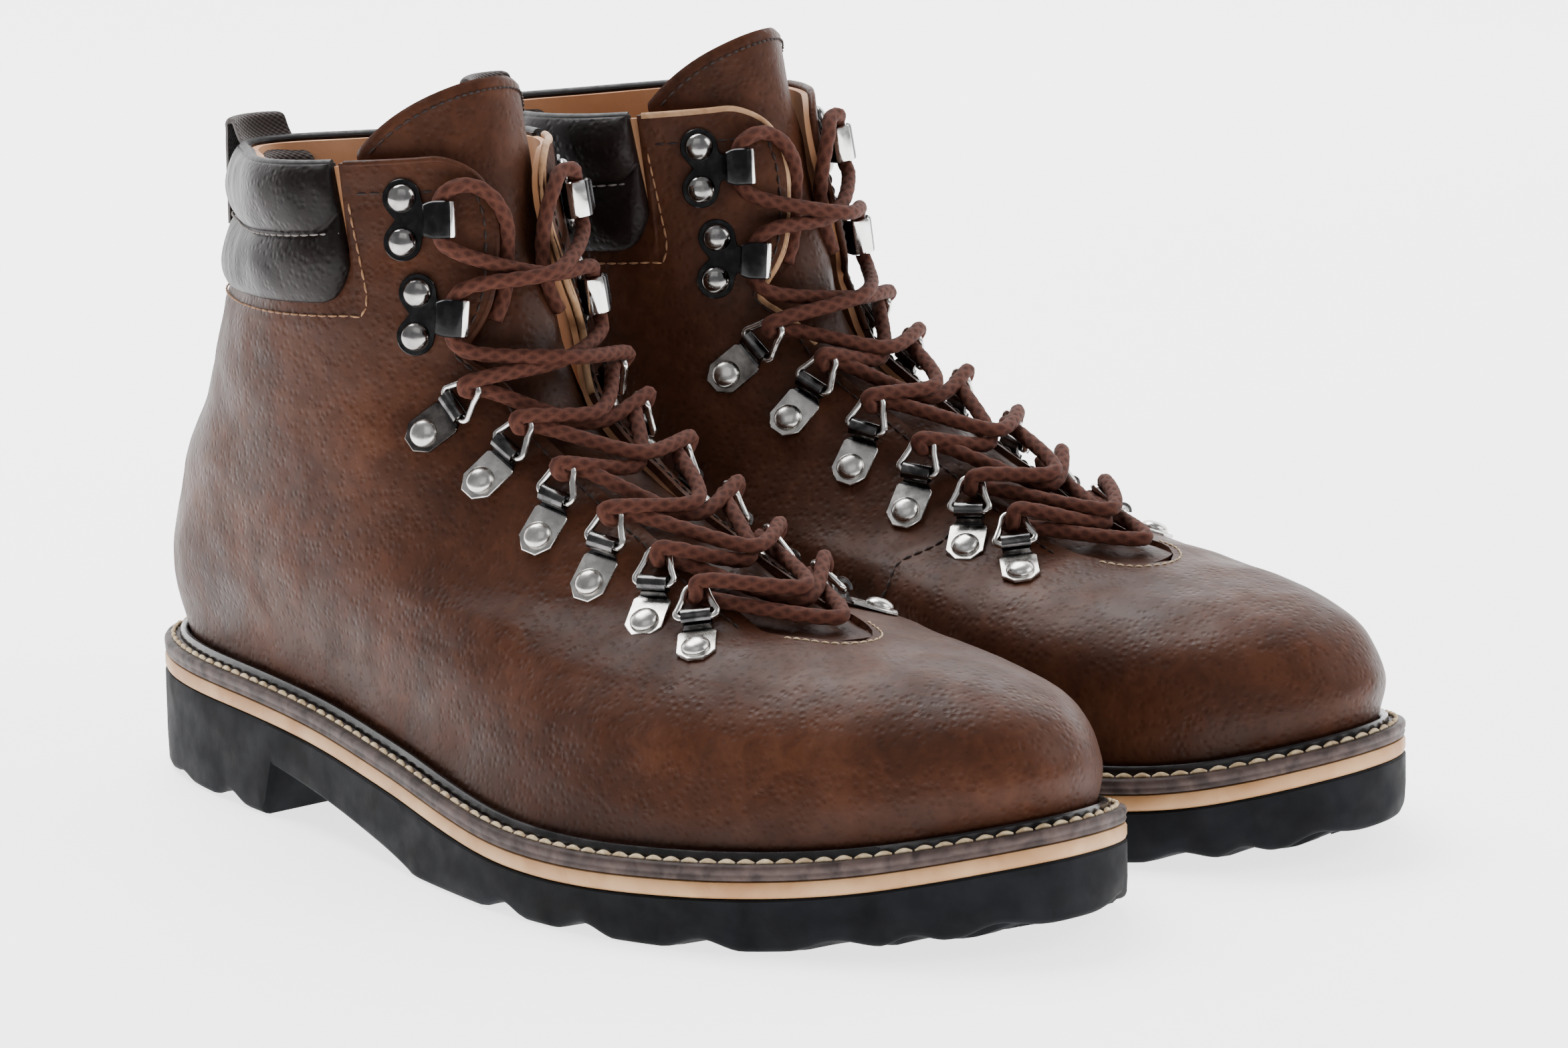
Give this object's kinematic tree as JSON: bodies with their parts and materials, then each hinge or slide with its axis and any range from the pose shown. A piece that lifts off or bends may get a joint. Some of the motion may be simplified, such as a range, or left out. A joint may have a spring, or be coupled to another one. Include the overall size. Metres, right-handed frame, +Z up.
{
  "type": "hiking boots",
  "caption": "Pair of lace-up leather hiking boots with padded collars, swivelling D-ring eyelets, speed hooks, heel pull loops and lugged rubber soles.",
  "frame": {"origin": "middle of the pair's bounding box on the ground under the soles", "axes": "+Z up, toes towards -Y, heels towards +Y; right boot on the -X side and left boot on the +X side"},
  "size_m": [0.2322, 0.3092, 0.1839],
  "materials": {
    "brown_leather": "waxed, softly burnished",
    "collar_leather": "soft padded leather",
    "tan_lining": "matt lining",
    "black_rubber": "matt",
    "tan_midsole": "matt",
    "welt": "satin",
    "insole_board": "raw board",
    "spring_steel": "plain",
    "nickel_plate": "satin nickel",
    "ring_wire": "polished",
    "black_metal": "gloss black",
    "webbing": "woven",
    "lace_cord": "braided"
  },
  "bodies": {
    "right_boot": {"right_collar": "collar_leather", "right_footbed": "tan_lining", "right_insole_board": "insole_board", "right_lace": "lace_cord", "right_lateral_hook_1": "black_metal", "right_lateral_hook_2": "black_metal", "right_lateral_ring_mounts": "nickel_plate", "right_lining": "tan_lining", "right_medial_hook_1": "black_metal", "right_medial_hook_2": "black_metal", "right_medial_ring_mounts": "nickel_plate", "right_midsole": "tan_midsole", "right_outsole": "black_rubber", "right_pull_loop": "webbing", "right_shank": "spring_steel", "right_tongue": "brown_leather", "right_upper": "brown_leather", "right_welt": "welt"},
    "right_lateral_d_ring_1": {"right_lateral_d_ring_1": "ring_wire"},
    "right_lateral_d_ring_2": {"right_lateral_d_ring_2": "ring_wire"},
    "right_lateral_d_ring_3": {"right_lateral_d_ring_3": "ring_wire"},
    "right_lateral_d_ring_4": {"right_lateral_d_ring_4": "ring_wire"},
    "right_lateral_d_ring_5": {"right_lateral_d_ring_5": "ring_wire"},
    "right_lateral_d_ring_6": {"right_lateral_d_ring_6": "ring_wire"},
    "right_medial_d_ring_1": {"right_medial_d_ring_1": "ring_wire"},
    "right_medial_d_ring_2": {"right_medial_d_ring_2": "ring_wire"},
    "right_medial_d_ring_3": {"right_medial_d_ring_3": "ring_wire"},
    "right_medial_d_ring_4": {"right_medial_d_ring_4": "ring_wire"},
    "right_medial_d_ring_5": {"right_medial_d_ring_5": "ring_wire"},
    "right_medial_d_ring_6": {"right_medial_d_ring_6": "ring_wire"},
    "left_boot": {"left_collar": "collar_leather", "left_footbed": "tan_lining", "left_insole_board": "insole_board", "left_lace": "lace_cord", "left_lateral_hook_1": "black_metal", "left_lateral_hook_2": "black_metal", "left_lateral_ring_mounts": "nickel_plate", "left_lining": "tan_lining", "left_medial_hook_1": "black_metal", "left_medial_hook_2": "black_metal", "left_medial_ring_mounts": "nickel_plate", "left_midsole": "tan_midsole", "left_outsole": "black_rubber", "left_pull_loop": "webbing", "left_shank": "spring_steel", "left_tongue": "brown_leather", "left_upper": "brown_leather", "left_welt": "welt"},
    "left_lateral_d_ring_1": {"left_lateral_d_ring_1": "ring_wire"},
    "left_lateral_d_ring_2": {"left_lateral_d_ring_2": "ring_wire"},
    "left_lateral_d_ring_3": {"left_lateral_d_ring_3": "ring_wire"},
    "left_lateral_d_ring_4": {"left_lateral_d_ring_4": "ring_wire"},
    "left_lateral_d_ring_5": {"left_lateral_d_ring_5": "ring_wire"},
    "left_lateral_d_ring_6": {"left_lateral_d_ring_6": "ring_wire"},
    "left_medial_d_ring_1": {"left_medial_d_ring_1": "ring_wire"},
    "left_medial_d_ring_2": {"left_medial_d_ring_2": "ring_wire"},
    "left_medial_d_ring_3": {"left_medial_d_ring_3": "ring_wire"},
    "left_medial_d_ring_4": {"left_medial_d_ring_4": "ring_wire"},
    "left_medial_d_ring_5": {"left_medial_d_ring_5": "ring_wire"},
    "left_medial_d_ring_6": {"left_medial_d_ring_6": "ring_wire"}
  },
  "joints": [
    {"name": "left_boot_apart", "type": "slide", "parent": "right_boot", "child": "left_boot", "axis": [1, 0, 0], "range_m": [0, 0.2]},
    {"name": "right_lateral_d_ring_1_hinge", "type": "hinge", "parent": "right_boot", "child": "right_lateral_d_ring_1", "pos_m": [-0.07426, 0.02232, 0.10775], "axis": [-0.0063, -0.7079, -0.7063], "range_deg": [-4, 20], "deforming": ["right_lace"]},
    {"name": "right_lateral_d_ring_2_hinge", "type": "hinge", "parent": "right_boot", "child": "right_lateral_d_ring_2", "pos_m": [-0.07185, 0.00727, 0.09921], "axis": [-0.0009, -0.8751, -0.4839], "range_deg": [-4, 20], "deforming": ["right_lace"]},
    {"name": "right_lateral_d_ring_3_hinge", "type": "hinge", "parent": "right_boot", "child": "right_lateral_d_ring_3", "pos_m": [-0.07272, -0.00889, 0.08961], "axis": [0.168, -0.9504, -0.2619], "range_deg": [-4, 20], "deforming": ["right_lace"]},
    {"name": "right_lateral_d_ring_4_hinge", "type": "hinge", "parent": "right_boot", "child": "right_lateral_d_ring_4", "pos_m": [-0.07355, -0.02525, 0.08083], "axis": [0.2041, -0.9626, -0.1782], "range_deg": [-4, 20], "deforming": ["right_lace"]},
    {"name": "right_lateral_d_ring_5_hinge", "type": "hinge", "parent": "right_boot", "child": "right_lateral_d_ring_5", "pos_m": [-0.07391, -0.04142, 0.07337], "axis": [0.3703, -0.9289, 0.0075], "range_deg": [-4, 20], "deforming": ["right_lace"]},
    {"name": "right_lateral_d_ring_6_hinge", "type": "hinge", "parent": "right_boot", "child": "right_lateral_d_ring_6", "pos_m": [-0.0761, -0.05685, 0.0679], "axis": [0.5983, -0.7926, 0.1176], "range_deg": [-4, 20], "deforming": ["right_lace"]},
    {"name": "right_medial_d_ring_1_hinge", "type": "hinge", "parent": "right_boot", "child": "right_medial_d_ring_1", "pos_m": [-0.02546, 0.01692, 0.10776], "axis": [0.1242, 0.7147, 0.6883], "range_deg": [-4, 20], "deforming": ["right_lace"]},
    {"name": "right_medial_d_ring_2_hinge", "type": "hinge", "parent": "right_boot", "child": "right_medial_d_ring_2", "pos_m": [-0.03009, 0.00267, 0.09922], "axis": [0.1685, 0.8747, 0.4544], "range_deg": [-4, 20], "deforming": ["right_lace"]},
    {"name": "right_medial_d_ring_3_hinge", "type": "hinge", "parent": "right_boot", "child": "right_medial_d_ring_3", "pos_m": [-0.03147, -0.01335, 0.08977], "axis": [0.3145, 0.9227, 0.223], "range_deg": [-4, 20], "deforming": ["right_lace"]},
    {"name": "right_medial_d_ring_4_hinge", "type": "hinge", "parent": "right_boot", "child": "right_medial_d_ring_4", "pos_m": [-0.03195, -0.02972, 0.08101], "axis": [0.346, 0.9278, 0.1397], "range_deg": [-4, 20], "deforming": ["right_lace"]},
    {"name": "right_medial_d_ring_5_hinge", "type": "hinge", "parent": "right_boot", "child": "right_medial_d_ring_5", "pos_m": [-0.03258, -0.0459, 0.07349], "axis": [0.5067, 0.8619, -0.0215], "range_deg": [-4, 20], "deforming": ["right_lace"]},
    {"name": "right_medial_d_ring_6_hinge", "type": "hinge", "parent": "right_boot", "child": "right_medial_d_ring_6", "pos_m": [-0.03119, -0.06181, 0.06794], "axis": [0.6904, 0.7158, -0.1049], "range_deg": [-4, 20], "deforming": ["right_lace"]},
    {"name": "left_lateral_d_ring_1_hinge", "type": "hinge", "parent": "left_boot", "child": "left_lateral_d_ring_1", "pos_m": [0.07426, 0.02232, 0.10775], "axis": [-0.0063, 0.7079, 0.7063], "range_deg": [-4, 20], "deforming": ["left_lace"]},
    {"name": "left_lateral_d_ring_2_hinge", "type": "hinge", "parent": "left_boot", "child": "left_lateral_d_ring_2", "pos_m": [0.07185, 0.00727, 0.09921], "axis": [-0.0009, 0.8751, 0.4839], "range_deg": [-4, 20], "deforming": ["left_lace"]},
    {"name": "left_lateral_d_ring_3_hinge", "type": "hinge", "parent": "left_boot", "child": "left_lateral_d_ring_3", "pos_m": [0.07272, -0.00889, 0.08961], "axis": [0.168, 0.9504, 0.2619], "range_deg": [-4, 20], "deforming": ["left_lace"]},
    {"name": "left_lateral_d_ring_4_hinge", "type": "hinge", "parent": "left_boot", "child": "left_lateral_d_ring_4", "pos_m": [0.07355, -0.02525, 0.08083], "axis": [0.2041, 0.9626, 0.1782], "range_deg": [-4, 20], "deforming": ["left_lace"]},
    {"name": "left_lateral_d_ring_5_hinge", "type": "hinge", "parent": "left_boot", "child": "left_lateral_d_ring_5", "pos_m": [0.07391, -0.04142, 0.07337], "axis": [0.3703, 0.9289, -0.0075], "range_deg": [-4, 20], "deforming": ["left_lace"]},
    {"name": "left_lateral_d_ring_6_hinge", "type": "hinge", "parent": "left_boot", "child": "left_lateral_d_ring_6", "pos_m": [0.0761, -0.05685, 0.0679], "axis": [0.5983, 0.7926, -0.1176], "range_deg": [-4, 20], "deforming": ["left_lace"]},
    {"name": "left_medial_d_ring_1_hinge", "type": "hinge", "parent": "left_boot", "child": "left_medial_d_ring_1", "pos_m": [0.02546, 0.01692, 0.10776], "axis": [0.1242, -0.7147, -0.6883], "range_deg": [-4, 20], "deforming": ["left_lace"]},
    {"name": "left_medial_d_ring_2_hinge", "type": "hinge", "parent": "left_boot", "child": "left_medial_d_ring_2", "pos_m": [0.03009, 0.00267, 0.09922], "axis": [0.1685, -0.8747, -0.4544], "range_deg": [-4, 20], "deforming": ["left_lace"]},
    {"name": "left_medial_d_ring_3_hinge", "type": "hinge", "parent": "left_boot", "child": "left_medial_d_ring_3", "pos_m": [0.03147, -0.01335, 0.08977], "axis": [0.3145, -0.9227, -0.223], "range_deg": [-4, 20], "deforming": ["left_lace"]},
    {"name": "left_medial_d_ring_4_hinge", "type": "hinge", "parent": "left_boot", "child": "left_medial_d_ring_4", "pos_m": [0.03195, -0.02972, 0.08101], "axis": [0.346, -0.9278, -0.1397], "range_deg": [-4, 20], "deforming": ["left_lace"]},
    {"name": "left_medial_d_ring_5_hinge", "type": "hinge", "parent": "left_boot", "child": "left_medial_d_ring_5", "pos_m": [0.03258, -0.0459, 0.07349], "axis": [0.5067, -0.8619, 0.0215], "range_deg": [-4, 20], "deforming": ["left_lace"]},
    {"name": "left_medial_d_ring_6_hinge", "type": "hinge", "parent": "left_boot", "child": "left_medial_d_ring_6", "pos_m": [0.03119, -0.06181, 0.06794], "axis": [0.6904, -0.7158, 0.1049], "range_deg": [-4, 20], "deforming": ["left_lace"]}
  ]
}
